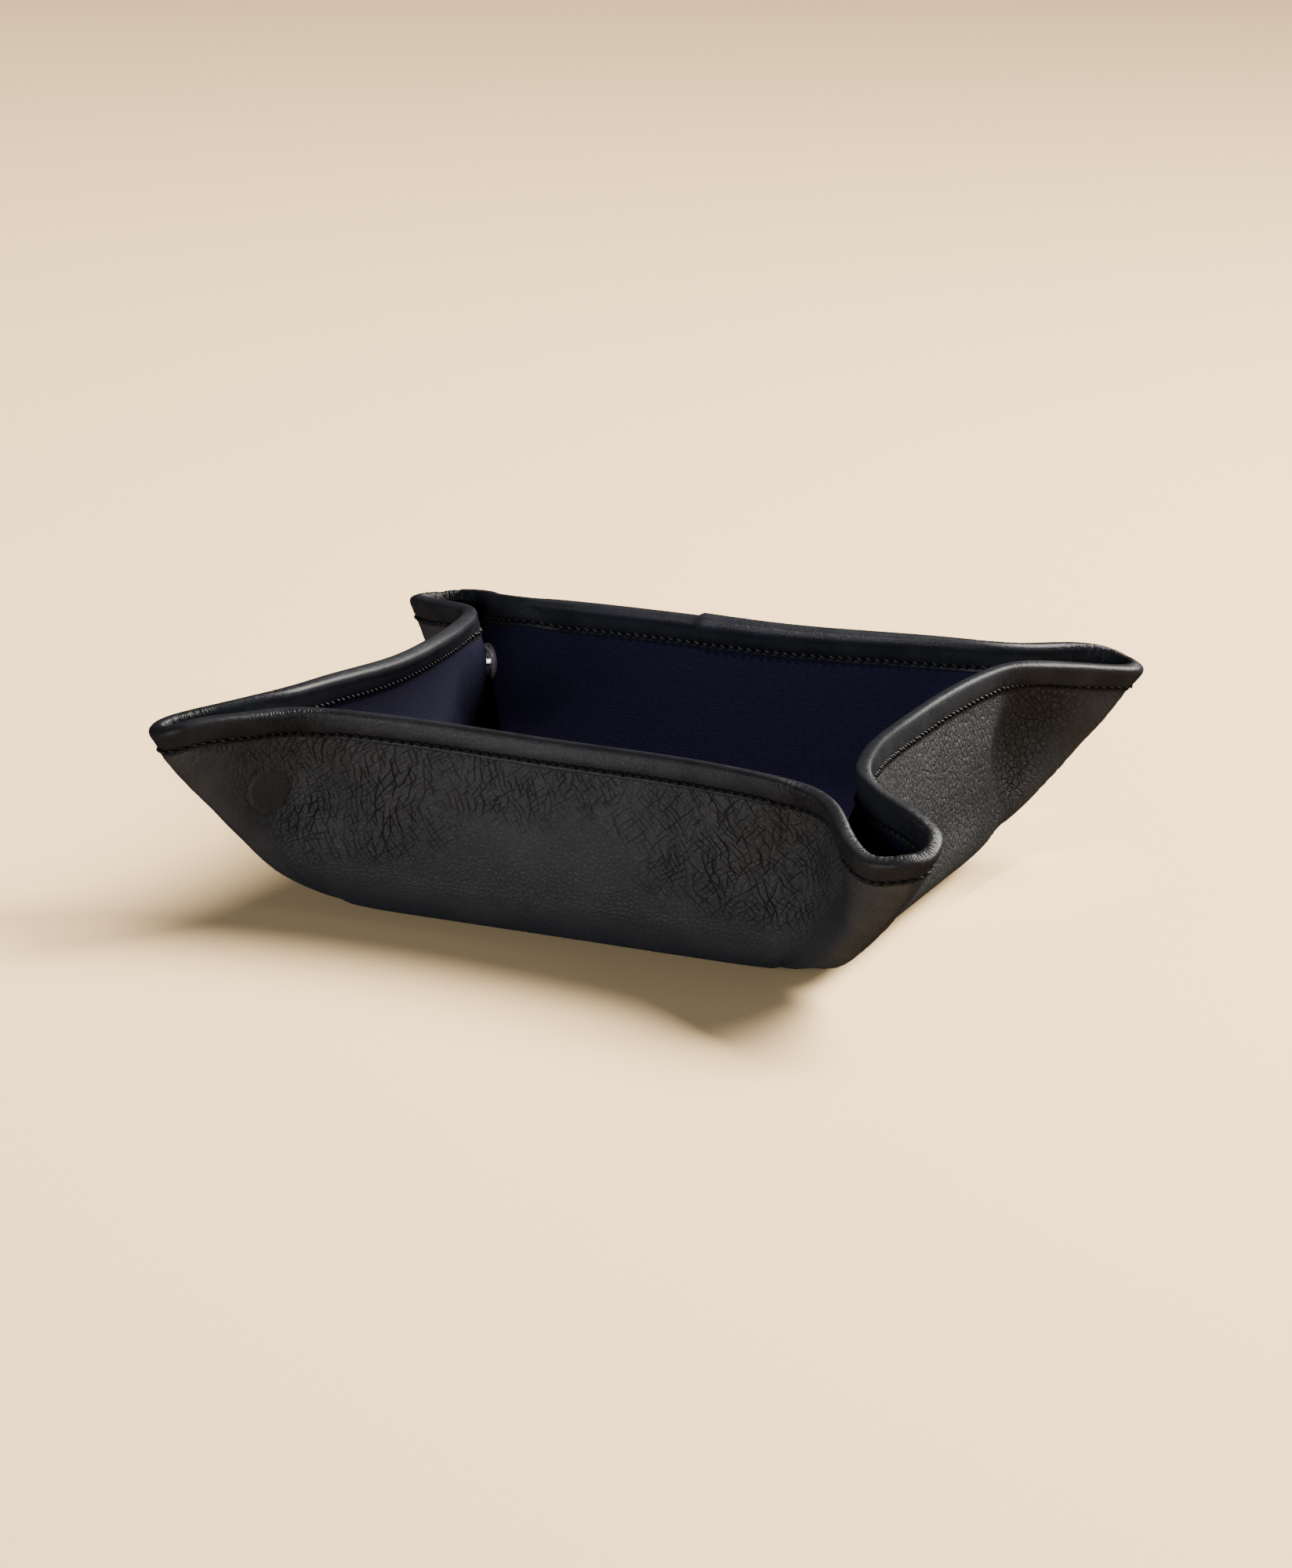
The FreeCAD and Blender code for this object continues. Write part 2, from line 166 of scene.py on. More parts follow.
def whole_ring():
    """Closed grid of columns and rows, from the edge of the floor to the rim."""
    r = around(lambda k, side: rim_half(WALL_SHAPE[k], CORNER_SHAPE[k if side > 0 else (k + 3) % 4],
                                        HALF_SHAPE[k][1 if side > 0 else 0]))
    place = np.abs((np.arange(len(r)) + NCOL) % (2 * NCOL) - NCOL)       # 0 in a wall's middle, NCOL at a tip
    width = np.interp(place, [0, NA, NA + NB, NA + NB + NC * 0.6, NCOL], [7.0, 6.5, 5.0, 2.5, 1.4])
    r = soften(r, width)
    z0 = SHAPE["z0"]
    flat3 = lambda p: np.c_[p, np.full(len(p), z0)]
    b = around(lambda k, side: flat3(fold_half()[0]))
    f = around(lambda k, side: flat3(fold_half()[1]))
    inward = unit(f - b)
    rise = r - b
    length = np.linalg.norm(rise, axis=1, keepdims=True)
    rise = rise / length
    zone = np.clip((place - NA) / float(NCOL - NA), 0, 1)[:, None]
    lift = smooth((place - 0.5 * NA) / (0.85 * (NCOL - 0.5 * NA)))[:, None]
    q2 = SHAPE["q2"] * (1 - lift) + SHAPE["q2r"] * lift
    k = np.linspace(0, 1, MB + 1)[:, None, None]
    bend = (1 - k) ** 2 * f[None] + 2 * k * (1 - k) * b[None] + k**2 * (b + rise * q2)[None]
    up = np.linspace(0, 1, MU + 1)[1:, None, None]
    g = np.concatenate([bend, (b + rise * q2)[None] * (1 - up) + r[None] * up], 0)
    corner = ((np.arange(len(r)) // (2 * NCOL)) % 4)
    extra = np.array([CORNER_SHAPE[q]["dkr"] for q in range(4)])[corner][:, None]
    belly = SHAPE["kw"] * (1 - smooth(zone)) + (SHAPE["kr"] + extra) * smooth(zone)
    out = -inward
    out = unit(out - (out * rise).sum(1, keepdims=True) * rise)
    h = np.clip(((g - b[None]) * rise[None]).sum(2, keepdims=True) / length[None], 0, 1)
    g = g + 4 * h * (1 - h) * smooth(h / 0.25) * (belly * out)[None]
    g = g.transpose(1, 0, 2)
    # the right wall stands a little fuller on the floor
    wall_of = (((np.arange(len(r)) + NCOL) // (2 * NCOL)) % 4)
    low = smooth((g[..., 2] - z0) / 4.0) * (1 - smooth((g[..., 2] - 8.0) / 16.0))
    full = np.where(wall_of == 1, 3.4 * (1 - smooth((place - NA - NB) / float(NC))), 0.0)
    g = g + np.array([1.0, 0, 0]) * (low * full[:, None])[..., None]
    # the tips of the ears stand upright under the rim before they slope down to the base
    down = np.linalg.norm(g - g[:, -1:], axis=2)
    bump = smooth(down / 9.0) * (1 - smooth((down - 8.0) / 34.0))
    share = smooth((place - NA - NB - 0.3 * NC) / (0.7 * NC + 0.5 * ND))
    for k, most in enumerate((2.0, 1.4, 4.2, 2.6)):
        a = corner_axes(k)[0]
        mine = ((np.arange(len(r)) // (2 * NCOL)) % 4 == k) * share
        g = g + a * (most * bump * mine[:, None])[..., None]
    return g


def ring_normals(g):
    n = unit(np.cross(np.roll(g, -1, 0) - np.roll(g, 1, 0), np.gradient(g, axis=1)))
    return n if n[0, -1, 1] < 0 else -n


def corner_axes(k):
    """Directions along the diagonal and across it for the corner after wall k."""
    return turn(k) @ np.array([1, -1, 0]) / R2, turn(k) @ np.array([1, 1, 0]) / R2


class Noise:
    """Gradient noise in two dimensions, the same on every run."""

    def __init__(self, seed):
        r = np.random.default_rng(seed)
        self.p = r.permutation(256)
        a = r.random(256) * 2 * math.pi
        self.g = np.c_[np.cos(a), np.sin(a)]

    def __call__(self, x, y):
        xi, yi = np.floor(x).astype(int), np.floor(y).astype(int)
        xf, yf = x - xi, y - yi
        total = 0
        fade = lambda t: t * t * t * (t * (t * 6 - 15) + 10)
        u, v = fade(xf), fade(yf)
        for dx in (0, 1):
            for dy in (0, 1):
                h = self.p[(self.p[(xi + dx) % 256] + yi + dy) % 256]
                d = self.g[h, 0] * (xf - dx) + self.g[h, 1] * (yf - dy)
                total = total + d * (u if dx else 1 - u) * (v if dy else 1 - v)
        return total * 1.5


RING = whole_ring()
NTOT = len(RING)

# the press studs hold the two sides of each ear together
SNAP_R = np.full(RING.shape[:2], 99.0)
for k in range(4):
    a, b = corner_axes(k)
    al, be, z = RING @ a, RING @ b, RING[..., 2]
    r = np.hypot(al - SNAP_REACH, z - SNAP_HEIGHT)
    near = (al > 60) & (np.abs(be) < 30)
    wgt = np.where(near, 1 - smooth((r - 6.0) / 17.0), 0)
    aim = np.sign(be) * SNAP_MID
    RING = RING + (wgt * (aim - be))[..., None] * b
    SNAP_R = np.where(near, np.minimum(SNAP_R, r), SNAP_R)

NORMAL = ring_normals(RING)

# flat coordinates of the sheet, in millimetres
ROW_RUN = np.r_[0, np.cumsum(np.linalg.norm(np.diff(RING[0], axis=0), axis=1))]
EDGE = SHAPE["c"] - SHAPE["q1"]
ROW_FLAT = EDGE + ROW_RUN * (130.0 - EDGE) / ROW_RUN[-1]
step = np.linalg.norm(np.roll(RING, -1, 0) - RING, axis=2)
FLAT = np.zeros(RING.shape[:2] + (2,))
LOCAL = np.zeros(RING.shape[:2] + (2,))
SIDE_RUN = np.zeros(RING.shape[:2])
for k in range(4):
    for side in (-1, 1):
        idx = (2 * NCOL * k + side * np.arange(NCOL + 1)) % NTOT
        p = RING[idx]
        run = np.concatenate([np.zeros((1, p.shape[1])), np.cumsum(np.linalg.norm(np.diff(p, axis=0), axis=2), 0)])
        u = side * run / run[-1] * ROW_FLAT
        f = np.stack([u, np.broadcast_to(-ROW_FLAT, u.shape)], -1)
        FLAT[idx] = f @ turn(k)[:2, :2].T
        LOCAL[idx] = f + np.array([0, 400.0 * k])
        SIDE_RUN[idx] = run

RIGHT_LOCAL = LOCAL.copy()
for k in range(4):
    i = 2 * NCOL * k + NCOL
    RIGHT_LOCAL[i] = np.stack([ROW_FLAT, -ROW_FLAT], -1) + np.array([0, 400.0 * k])
    LOCAL[i] = np.stack([-ROW_FLAT, -ROW_FLAT], -1) + np.array([0, 400.0 * ((k + 1) % 4)])

# distance from the throat along the rim, and the share of each fold effect
RIM_RUN = SIDE_RUN[:, -1]
THROAT = np.zeros(NTOT)
for k in range(4):
    for side in (-1, 1):
        idx = (2 * NCOL * k + side * np.arange(NCOL + 1)) % NTOT
        THROAT[idx] = RIM_RUN[idx] - RIM_RUN[idx[NA + NB // 2]]
HEIGHT = RING[..., 2]
rough_noise, fold_noise, wide_noise = Noise(3), Noise(11), Noise(29)
fu, fv = FLAT[..., 0], FLAT[..., 1]
# the hide is wrinkled most below the throats, less along the upper part of a wall
reach = np.where(THROAT < -7, 38.0, 25.0)[:, None]
near = np.exp(-((THROAT[:, None] + 7) / reach) ** 2) * smooth((HEIGHT - 8) / 20)
upper = smooth((HEIGHT - 22) / 22) * (0.50 + 0.25 * wide_noise(fu / 15, fv / 15))
CREASE = np.maximum(near * (0.92 + 0.35 * wide_noise(fu / 19, fv / 19)), upper)
of_wall = (((np.arange(NTOT) + NCOL) // (2 * NCOL)) % 4)[:, None]
CREASE = np.where(of_wall == 1, np.maximum(CREASE, 0.80 * smooth((HEIGHT - 7) / 12)), CREASE)
CREASE = np.clip(CREASE, 0, 1)
# furrows run down the wall from the throats
along = np.zeros(RING.shape[:2])
for k in range(4):
    idx = (np.arange(-NCOL, NCOL) + 2 * NCOL * k) % NTOT
    f = FLAT[idx] @ turn(k)[:2, :2]
    x, y = f[..., 0], f[..., 1]
    n1 = fold_noise(x / 3.4 + 0.7 * wide_noise(x / 9, y / 13), y / 15.0 + 40 * k)
    n2 = fold_noise(x / 6.0 + 50, y / 8.0 + 0.5 * wide_noise(x / 7 + 9, y / 7) + 20 * k)
    along[idx] = -0.16 * np.exp(-(n1 * 4.5) ** 2) - 0.08 * np.exp(-(n2 * 4.5) ** 2)
FURROW = CREASE * along
LEATHER_SOFT = 0.22 * wide_noise(fu / 21 + 5, fv / 21) * smooth((HEIGHT - 6) / 20)
# the hide is drawn smooth over the bend at the base and round the tips of the ears
CALM = np.clip((1 - smooth((HEIGHT - 4) / 14)) + 0.9 * smooth((THROAT - 20) / 16)[:, None], 0, 1)
left_half = ((np.arange(NTOT) // NCOL) % 2 == 1)[:, None]
DISC = np.where(left_half, 1 - smooth((SNAP_R - 5.2) / 0.8), 0.0)
PRESS = np.where(left_half, 0.10 * DISC - 0.20 * np.exp(-((SNAP_R - 6.4) / 0.8) ** 2), 0.0)
inside = 1 - smooth((SNAP_R - 6.0) / 5.0)
OUTER = RING + NORMAL * (OUT + PRESS + (FURROW + LEATHER_SOFT) * (1 - inside))[..., None]
LINING = RING - NORMAL * INN
OUTER_N, LINING_N = ring_normals(OUTER), -ring_normals(LINING)
OUTER[..., 2] = np.maximum(OUTER[..., 2], 0.0)

# ---------------------------------------------------------------- materials


def material(name):
    m = bpy.data.materials.new(name)
    m.use_nodes = True
    t = m.node_tree
    for n in list(t.nodes):
        if n.type != "OUTPUT_MATERIAL" and n.type != "BSDF_PRINCIPLED":
            t.nodes.remove(n)
    return m, t, t.nodes["Principled BSDF"]


class Nodes:
    """Short way to write node graphs."""

    def __init__(self, tree):
        self.t = tree

    def add(self, kind, **sockets):
        n = self.t.nodes.new(kind)
        for k, v in sockets.items():
            if k.startswith("p_"):
                setattr(n, k[2:], v)
        for k, v in sockets.items():
            if k.startswith("p_"):
                continue
            key = int(k[1:]) if k[0] == "i" and k[1:].isdigit() else k.replace("_", " ")
            self.put(n.inputs[key], v)
        return n

    def put(self, socket, v):
        if isinstance(v, bpy.types.NodeSocket):
            self.t.links.new(v, socket)
        else:
            socket.default_value = v

    def math(self, op, a, b=0.0, c=0.0, clamp=False):
        n = self.t.nodes.new("ShaderNodeMath")
        n.operation, n.use_clamp = op, clamp
        for s, v in zip(n.inputs, (a, b, c)):
            self.put(s, v)
        return n.outputs[0]

    def mix(self, f, a, b):
        n = self.t.nodes.new("ShaderNodeMix")
        n.data_type = "FLOAT"
        for s, v in zip((n.inputs[0], n.inputs[2], n.inputs[3]), (f, a, b)):
            self.put(s, v)
        return n.outputs[0]

    def colour(self, f, a, b):
        n = self.t.nodes.new("ShaderNodeMix")
        n.data_type = "RGBA"
        self.put(n.inputs[0], f)
        for s, v in zip((n.inputs[6], n.inputs[7]), (a, b)):
            self.put(s, v if isinstance(v, bpy.types.NodeSocket) else (*v, 1.0))
        return n.outputs[2]

    def attr(self, name):
        return self.add("ShaderNodeAttribute", p_attribute_name=name).outputs["Fac"]

    def span(self, v, lo, hi, a=0.0, b=1.0, kind="SMOOTHSTEP"):
        n = self.add("ShaderNodeMapRange", p_interpolation_type=kind)
        for s, x in zip(n.inputs[:5], (v, lo, hi, a, b)):
            self.put(s, x)
        return n.outputs[0]

    def sheet(self, sx=1.0, sy=1.0, name="flat"):
        """Sheet coordinates in millimetres, divided by sx and sy."""
        uv = self.add("ShaderNodeUVMap", p_uv_map=name).outputs[0]
        m = self.add("ShaderNodeMapping")
        self.put(m.inputs["Vector"], uv)
        m.inputs["Scale"].default_value = (260.0 / sx, 260.0 / sy, 1.0)
        return m.outputs[0]

    def warp(self, vec, noise_vec, amount, scale):
        n = self.add("ShaderNodeTexNoise", p_noise_dimensions="2D", Scale=scale, Detail=2.0)
        self.put(n.inputs["Vector"], noise_vec)
        s = self.add("ShaderNodeVectorMath", p_operation="SUBTRACT")
        self.put(s.inputs[0], n.outputs["Color"])
        s.inputs[1].default_value = (0.5, 0.5, 0.5)
        k = self.add("ShaderNodeVectorMath", p_operation="SCALE")
        self.put(k.inputs[0], s.outputs[0])
        k.inputs["Scale"].default_value = amount
        a = self.add("ShaderNodeVectorMath", p_operation="ADD")
        self.put(a.inputs[0], vec)
        self.put(a.inputs[1], k.outputs[0])
        return a.outputs[0]

    def noise(self, vec, scale, detail=3.0, rough=0.5, out="Fac"):
        n = self.add("ShaderNodeTexNoise", p_noise_dimensions="2D", Scale=scale, Detail=detail, Roughness=rough)
        self.put(n.inputs["Vector"], vec)
        return n.outputs[out]

    def cells(self, vec, scale, feature="DISTANCE_TO_EDGE", rand=1.0):
        n = self.add("ShaderNodeTexVoronoi", p_voronoi_dimensions="2D", p_feature=feature, Scale=scale, Randomness=rand)
        self.put(n.inputs["Vector"], vec)
        return n.outputs["Distance"]

    def bump(self, height, strength, distance, normal=None):
        n = self.add("ShaderNodeBump", Strength=strength, Distance=distance)
        self.put(n.inputs["Height"], height)
        if normal is not None:
            self.put(n.inputs["Normal"], normal)
        return n.outputs[0]


def leather_material():
    m, t, p = material("pebbled_leather")
    g = Nodes(t)
    mm, wall = g.sheet(), g.sheet(name="wall")
    crease, disc, calm = g.attr("crease"), g.attr("disc"), g.attr("calm")
    patch = g.noise(mm, 0.07, 2.0)
    grain = g.warp(mm, mm, 1.1, 0.5)
    # pebbles of the relaxed hide
    pebble = g.cells(grain, 0.70)
    pebble_line = g.span(pebble, 0.02, 0.20, 1.0, 0.0)
    small = g.cells(g.warp(mm, mm, 0.6, 1.1), 1.75)
    small_line = g.span(small, 0.02, 0.22, 1.0, 0.0)
    # thin creases that run down the wall side by side, each coming and going on its own, and others across them
    sep = g.add("ShaderNodeSeparateXYZ")
    g.put(sep.inputs[0], wall)
    wx, wy = sep.outputs[0], sep.outputs[1]
    right = g.math("MULTIPLY", g.math("GREATER_THAN", wy, 150.0), g.math("LESS_THAN", wy, 500.0))

    def creases(slant, pitch, sway, seed, width, pace, cover):
        moved = g.add("ShaderNodeVectorMath", p_operation="ADD")
        g.put(moved.inputs[0], wall)
        moved.inputs[1].default_value = (seed, 1.7 * seed, 0.0)
        at = g.math("MULTIPLY_ADD", wy, slant, wx)
        at = g.math("MULTIPLY_ADD", g.noise(moved.outputs[0], 0.085, 1.0), 2 * sway, at)
        at = g.math("MULTIPLY_ADD", g.noise(moved.outputs[0], 0.42, 2.0), 0.9, at)
        at = g.math("DIVIDE", at, pitch)
        off = g.math("MULTIPLY", g.math("ABSOLUTE", g.math("SUBTRACT", g.math("FRACT", at), 0.5)), pitch)
        own = g.add("ShaderNodeCombineXYZ")
        g.put(own.inputs[0], g.math("MULTIPLY", g.math("FLOOR", at), 7.31))
        g.put(own.inputs[1], g.math("MULTIPLY", wy, pace))
        on = g.span(g.noise(own.outputs[0], 1.0, 1.0), cover, cover + 0.14)
        return off, g.math("MULTIPLY", g.span(off, 0.12 * width, width, 1.0, 0.0), on)

    gap_a, long_a = creases(-0.30, 2.2, 3.0, 3.0, 0.30, 0.085, 0.38)
    gap_b, long_b = creases(0.38, 2.5, 2.6, 57.0, 0.27, 0.12, 0.43)
    gap_c, long_c = creases(-0.80, 1.8, 2.0, 91.0, 0.24, 0.20, 0.45)
    gap_d, long_d = creases(1.15, 2.2, 2.0, 133.0, 0.24, 0.24, 0.46)
    plate_line = g.math("MAXIMUM", long_a, g.math("MULTIPLY", long_b, 0.95))
    plate2_line = g.math("MAXIMUM", long_c, long_d)
    # the hide of the right wall shows larger pebbles
    tall = g.add("ShaderNodeMapping")
    g.put(tall.inputs["Vector"], g.warp(wall, wall, 0.9, 0.5))
    tall.inputs["Rotation"].default_value = (0.0, 0.0, 0.20)
    tall.inputs["Scale"].default_value = (1.12, 0.76, 1.0)
    scale = g.cells(tall.outputs[0], 0.46)
    scale_line = g.math("MULTIPLY", g.span(scale, 0.02, 0.16, 1.0, 0.0), right)
    keep = g.math("MULTIPLY_ADD", disc, -0.85, 1.0)
    quiet = g.math("MULTIPLY", keep, g.math("MULTIPLY_ADD", calm, -0.80, 1.0))
    less = g.math("MULTIPLY_ADD", right, -0.45, 1.0)
    a = g.math("MULTIPLY", pebble_line, 0.20)
    vary = g.mix(g.span(g.noise(wall, 0.075, 2.0), 0.38, 0.62), 0.45, 1.0)
    b = g.math("MULTIPLY", g.math("MULTIPLY", plate_line, vary), g.math("MULTIPLY", g.span(crease, 0.10, 0.70), less))
    c = g.math("MULTIPLY", plate2_line, g.math("MULTIPLY", g.span(crease, 0.05, 0.60), 0.82))
    d = g.math("MAXIMUM", g.math("MULTIPLY", small_line, 0.11), g.math("MULTIPLY", scale_line, 0.76))
    lines = g.math("MAXIMUM", g.math("MAXIMUM", a, b), g.math("MAXIMUM", c, d))
    lines = g.math("MULTIPLY", lines, quiet)
    swell = g.math("ADD", g.span(gap_a, 0.0, 1.0), g.span(gap_b, 0.0, 1.15))
    dome = g.math("MULTIPLY", swell, g.math("MULTIPLY", quiet, g.math("MULTIPLY", crease, 0.22)))
    height = g.math("SUBTRACT", dome, lines)
    height = g.math("ADD", height, g.math("MULTIPLY", g.span(pebble, 0.0, 0.5), g.math("MULTIPLY", quiet, 0.25)))
    height = g.math("ADD", height, g.math("MULTIPLY", g.span(scale, 0.0, 0.45), g.math("MULTIPLY", right, g.math("MULTIPLY", quiet, 0.30))))
    height = g.math("ADD", height, g.math("MULTIPLY", g.noise(mm, 2.6, 3.0, 0.6), 0.18))
    g.put(p.inputs["Normal"], g.bump(height, 1.0, 0.00040))
    body = g.colour(g.span(patch, 0.3, 0.75), (0.0178, 0.0195, 0.0232), (0.0216, 0.0235, 0.0278))
    # painted cool tint on the right wall's ears, offsetting the warm light the floor bounces onto them
    warm_bounce_offset = g.math("MULTIPLY", right, g.span(g.math("ABSOLUTE", wx), 60.0, 84.0))
    body = g.colour(warm_bounce_offset, body, (0.0160, 0.0190, 0.0260))
    body = g.colour(g.math("MULTIPLY", disc, 0.45), body, (0.0080, 0.0082, 0.0088))
    # the crease and pebble lines are painted near black and given less specular: painted shade in the grooves, added to
    # their bump
    g.put(p.inputs["Base Color"], g.colour(g.math("MULTIPLY", lines, 0.74), body, (0.0014, 0.0014, 0.0015)))
    rough = g.math("MULTIPLY_ADD", g.noise(mm, 0.5, 3.0), 0.14, 0.38)
    g.put(p.inputs["Roughness"], g.math("MULTIPLY_ADD", lines, 0.30, rough))
    g.put(p.inputs["Specular IOR Level"], g.math("MULTIPLY_ADD", lines, -0.16, 0.19))
    return m


def binding_material():
    m, t, p = material("binding_leather")
    g = Nodes(t)
    mm = g.sheet(name="strip")
    tight = g.attr("tight")
    across = g.sheet(0.62, 3.4, name="strip")
    pleats = g.noise(across, 1.0, 2.0, 0.55)
    pleats = g.math("MULTIPLY", g.span(pleats, 0.36, 0.62), tight)
    fine = g.span(g.cells(g.warp(mm, mm, 0.5, 0.9), 1.7), 0.0, 0.3)
    height = g.math("ADD", g.math("MULTIPLY", fine, 0.18), g.math("MULTIPLY", pleats, 0.9))
    height = g.math("ADD", height, g.math("MULTIPLY", g.noise(mm, 0.9, 3.0), 0.35))
    g.put(p.inputs["Normal"], g.bump(height, 0.6, 0.0003))
    patch = g.noise(mm, 0.10, 3.0)
    seam = g.attr("seam")
    # along the stitch lines the strip is painted near black and given less specular: painted shade in the stitch groove
    groove = g.span(g.math("ABSOLUTE", seam), 0.25, 0.85, 1.0, 0.0)
    body = g.colour(g.span(patch, 0.3, 0.7), (0.0080, 0.0086, 0.0108), (0.0114, 0.0122, 0.0150))
    # the pleats are painted darker: painted shade in their folds
    body = g.colour(g.math("MULTIPLY", pleats, 0.55), body, (0.0040, 0.0040, 0.0046))
    g.put(p.inputs["Base Color"], g.colour(g.math("MULTIPLY", groove, 0.80), body, (0.0012, 0.0012, 0.0013)))
    g.put(p.inputs["Roughness"], g.math("MULTIPLY_ADD", g.noise(mm, 0.4, 3.0), 0.16, 0.27))
    g.put(p.inputs["Specular IOR Level"], g.math("MULTIPLY_ADD", groove, -0.11, 0.13))
    return m


def canvas_material():
    m, t, p = material("canvas")
    g = Nodes(t)
    mm = g.sheet()
    soft = g.warp(mm, mm, 0.16, 0.8)
    pitch = 0.74
    sep = g.add("ShaderNodeSeparateXYZ")
    g.put(sep.inputs[0], soft)
    x, y = (g.math("MULTIPLY", sep.outputs[i], math.pi / pitch) for i in (0, 1))
    sx, sy = g.math("SINE", x), g.math("SINE", y)
    over = g.math("MULTIPLY", sx, sy)
    warp_yarn = g.math("ABSOLUTE", g.math("SINE", x))
    weft_yarn = g.math("ABSOLUTE", g.math("SINE", y))
    pick = g.span(over, -0.25, 0.25)
    weave = g.mix(pick, warp_yarn, weft_yarn)
    slub = g.noise(g.sheet(0.7, 9.0), 1.0, 2.0)
    slub2 = g.noise(g.sheet(9.0, 0.7), 1.0, 2.0)
    height = g.math("ADD", weave, g.math("MULTIPLY", g.math("ADD", slub, slub2), 0.5))
    g.put(p.inputs["Normal"], g.bump(height, 0.7, 0.00022))
    tone = g.math("ADD", g.math("MULTIPLY", weave, 0.55), g.math("MULTIPLY", g.math("ADD", slub, slub2), 0.28))
    tone = g.math("MULTIPLY_ADD", g.noise(mm, 0.8, 4.0, 0.7), 0.9, g.math("SUBTRACT", tone, 0.45))
    tone = g.math("MULTIPLY", tone, 1.0, clamp=True)
    g.put(p.inputs["Base Color"], g.colour(tone, (0.0042, 0.0027, 0.0078), (0.0085, 0.0084, 0.0226)))
    p.inputs["Roughness"].default_value = 0.92
    p.inputs["Specular IOR Level"].default_value = 0.05
    return m


def thread_material():
    m, t, p = material("thread")
    g = Nodes(t)
    mm = g.sheet(name="strip")
    ply = g.noise(g.sheet(0.34, 1.2, name="strip"), 1.0, 2.0)
    g.put(p.inputs["Base Color"], g.colour(ply, (0.0016, 0.0016, 0.0017), (0.0060, 0.0058, 0.0058)))
    g.put(p.inputs["Normal"], g.bump(ply, 0.5, 0.00012))
    g.put(p.inputs["Roughness"], g.math("MULTIPLY_ADD", g.noise(mm, 2.0), 0.2, 0.42))
    p.inputs["Specular IOR Level"].default_value = 0.16
    return m


def nickel_material():
    m, t, p = material("nickel")
    g = Nodes(t)
    pos = g.add("ShaderNodeTexCoord").outputs["Object"]
    n = g.add("ShaderNodeTexNoise", Scale=900.0, Detail=3.0)
    g.put(n.inputs["Vector"], pos)
    g.put(p.inputs["Base Color"], g.colour(n.outputs["Fac"], (0.74, 0.73, 0.71), (0.90, 0.89, 0.87)))
    p.inputs["Metallic"].default_value = 0.90
    g.put(p.inputs["Roughness"], g.math("MULTIPLY_ADD", n.outputs["Fac"], 0.10, 0.08))
    g.put(p.inputs["Normal"], g.bump(n.outputs["Fac"], 0.15, 0.00005))
    return m


LEATHER, BINDING, CANVAS, THREAD, NICKEL = (leather_material(), binding_material(), canvas_material(),
                                            thread_material(), nickel_material())

# ---------------------------------------------------------------- meshes


def make(name, verts, faces, uv, uv_name, mat, normals=None, attributes=(), wall_uv=None):
    """A smooth mesh from millimetre points, with one coordinate pair and normal a point."""
    mesh = bpy.data.meshes.new(name)
    mesh.from_pydata((np.asarray(verts) * MM).tolist(), [], [tuple(int(i) for i in f) for f in faces])
    mesh.update()
    layer = mesh.uv_layers.new(name=uv_name)
    loops = np.empty(len(mesh.loops), np.int64)
    mesh.loops.foreach_get("vertex_index", loops)
    coords = np.asarray(uv, float) / 260.0 + 0.5
    layer.data.foreach_set("uv", coords[loops].astype(np.float32).ravel())
    if wall_uv is not None:
        layer = mesh.uv_layers.new(name="wall")
        layer.data.foreach_set("uv", (np.asarray(wall_uv, float) / 260.0)[loops].astype(np.float32).ravel())
    for key, values in attributes:
        at = mesh.attributes.new(key, "FLOAT", "POINT")
        at.data.foreach_set("value", np.asarray(values, np.float32).ravel())
    mesh.polygons.foreach_set("use_smooth", np.ones(len(mesh.polygons), bool))
    if normals is not None:
        mesh.normals_split_custom_set_from_vertices(np.asarray(normals, float).tolist())
    mesh.materials.append(mat)
    obj = bpy.data.objects.new(name, mesh)
    bpy.context.scene.collection.objects.link(obj)
    return obj


def grid_faces(a, b, flip=False, closed=False):
    i, j = np.meshgrid(np.arange(a if closed else a - 1), np.arange(b - 1), indexing="ij")
    i2 = (i + 1) % a
    q = np.stack([i * b + j, i2 * b + j, i2 * b + j + 1, i * b + j + 1], -1).reshape(-1, 4)
    return q[:, ::-1] if flip else q


UNDER = 0.3                              # depth of a hidden margin, between leather and lining


